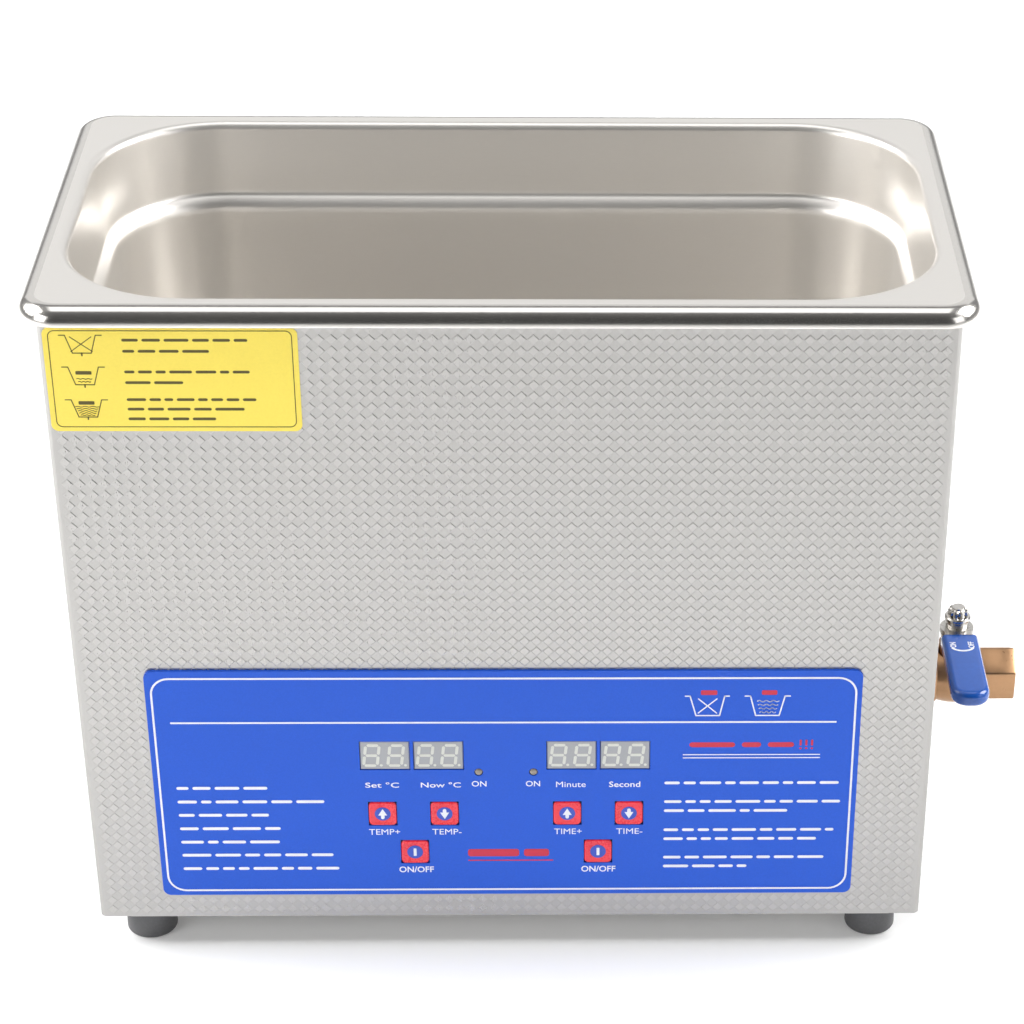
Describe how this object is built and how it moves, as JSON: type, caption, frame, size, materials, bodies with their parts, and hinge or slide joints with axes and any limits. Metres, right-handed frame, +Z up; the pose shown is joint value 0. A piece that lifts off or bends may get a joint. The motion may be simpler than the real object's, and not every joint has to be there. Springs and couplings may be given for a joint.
{
  "type": "ultrasonic cleaner",
  "caption": "Bench-top ultrasonic cleaner: deep rounded stainless bath in an embossed sheet housing, keypad panel in front, side drain valve with lever, rear inlet and rocker switch.",
  "frame": {"origin": "on the floor, under the middle of the housing and midway between the four feet", "axes": "+X to the right of a person facing the control panel, +Y to the rear, +Z up"},
  "size_m": [0.3601, 0.176, 0.268],
  "materials": {
    "aluminium": "turned or extruded",
    "base_steel": "plain cold-rolled stainless sheet",
    "black_plastic": "moulded black plastic",
    "blue_vinyl": "dipped vinyl sleeve, glossy",
    "brass": "machined brass",
    "chrome": "polished plate",
    "circuit_board": "green solder resist",
    "display_face": "grey face with pale unlit segments",
    "embossed_stainless": "stainless sheet embossed with small diamonds",
    "ferrite": "sintered ferrite",
    "foot_rubber": "moulded dark grey rubber",
    "heater_rubber": "silicone rubber mat",
    "key_film": "red key with a blue disc and a white symbol",
    "label_film": "printed film, yellow with dark print",
    "led_lens": "diffused lens, unlit",
    "machined_steel": "turned steel",
    "panel_film": "printed film, blue with white and red print",
    "piezo_ceramic": "fired ceramic with silvered faces",
    "plated_steel": "nickel-plated pressed steel",
    "stainless_fitting": "turned stainless steel",
    "stainless_pan": "satin pressed stainless steel with a polished rim",
    "white_plastic": "white plastic",
    "winding": "taped copper winding",
    "zinc_steel": "bright zinc plate"
  },
  "bodies": {
    "housing": {"base_plate": "base_steel", "base_screws": "zinc_steel", "bath_tank": "stainless_pan", "board_nuts": "zinc_steel", "board_studs": "zinc_steel", "bulkhead_nut": "brass", "control_board": "circuit_board", "control_overlay": "panel_film", "drain_elbow": "brass", "drain_nipple": "brass", "drain_socket": "stainless_fitting", "filter_capacitors": "black_plastic", "foot_front_left": "foot_rubber", "foot_front_right": "foot_rubber", "foot_nuts": "zinc_steel", "foot_rear_left": "foot_rubber", "foot_rear_right": "foot_rubber", "foot_screws": "zinc_steel", "generator_board": "circuit_board", "generator_screws": "zinc_steel", "generator_spacers": "white_plastic", "gland_nut": "brass", "heat_sink": "aluminium", "heater_pads": "heater_rubber", "housing_shell": "embossed_stainless", "indicator_leds": "led_lens", "inlet_pins": "brass", "inlet_screws": "zinc_steel", "instruction_label": "label_film", "key_switches": "black_plastic", "piezo_rings": "piezo_ceramic", "power_inlet": "black_plastic", "power_transistors": "black_plastic", "switch_housing": "black_plastic", "temperature_display_left": "display_face", "temperature_display_right": "display_face", "thermal_sensor": "black_plastic", "time_display_left": "display_face", "time_display_right": "display_face", "transducer_back_masses": "machined_steel", "transducer_bolts": "machined_steel", "transducer_electrodes": "brass", "transducer_horns": "aluminium", "transformer_coil": "winding", "transformer_core": "ferrite", "valve_body": "brass", "valve_seals": "white_plastic"},
    "valve_handle": {"valve_ball": "chrome", "valve_stem": "plated_steel", "valve_lever": "plated_steel", "lever_grip": "blue_vinyl", "lever_nut": "plated_steel"},
    "rocker": {"power_rocker": "black_plastic"},
    "temperature_down_key": {"temperature_down_key": "key_film"},
    "temperature_switch_key": {"temperature_switch_key": "key_film"},
    "temperature_up_key": {"temperature_up_key": "key_film"},
    "time_down_key": {"time_down_key": "key_film"},
    "time_switch_key": {"time_switch_key": "key_film"},
    "time_up_key": {"time_up_key": "key_film"}
  },
  "joints": [
    {"name": "valve_turn", "type": "hinge", "parent": "housing", "child": "valve_handle", "pos_m": [0.1742, 0, 0.0705], "axis": [0, 0, 1], "range_deg": [0, 90]},
    {"name": "rocker_tilt", "type": "hinge", "parent": "housing", "child": "rocker", "pos_m": [0.058, 0.079, 0.048], "axis": [1, 0, 0], "range_deg": [0, 18]},
    {"name": "temperature_down_key_press", "type": "slide", "parent": "housing", "child": "temperature_down_key", "axis": [0, 1, 0], "range_m": [0, 0.0004], "stiffness_N_per_m": 2500},
    {"name": "temperature_switch_key_press", "type": "slide", "parent": "housing", "child": "temperature_switch_key", "axis": [0, 1, 0], "range_m": [0, 0.0004], "stiffness_N_per_m": 2500},
    {"name": "temperature_up_key_press", "type": "slide", "parent": "housing", "child": "temperature_up_key", "axis": [0, 1, 0], "range_m": [0, 0.0004], "stiffness_N_per_m": 2500},
    {"name": "time_down_key_press", "type": "slide", "parent": "housing", "child": "time_down_key", "axis": [0, 1, 0], "range_m": [0, 0.0004], "stiffness_N_per_m": 2500},
    {"name": "time_switch_key_press", "type": "slide", "parent": "housing", "child": "time_switch_key", "axis": [0, 1, 0], "range_m": [0, 0.0004], "stiffness_N_per_m": 2500},
    {"name": "time_up_key_press", "type": "slide", "parent": "housing", "child": "time_up_key", "axis": [0, 1, 0], "range_m": [0, 0.0004], "stiffness_N_per_m": 2500}
  ]
}
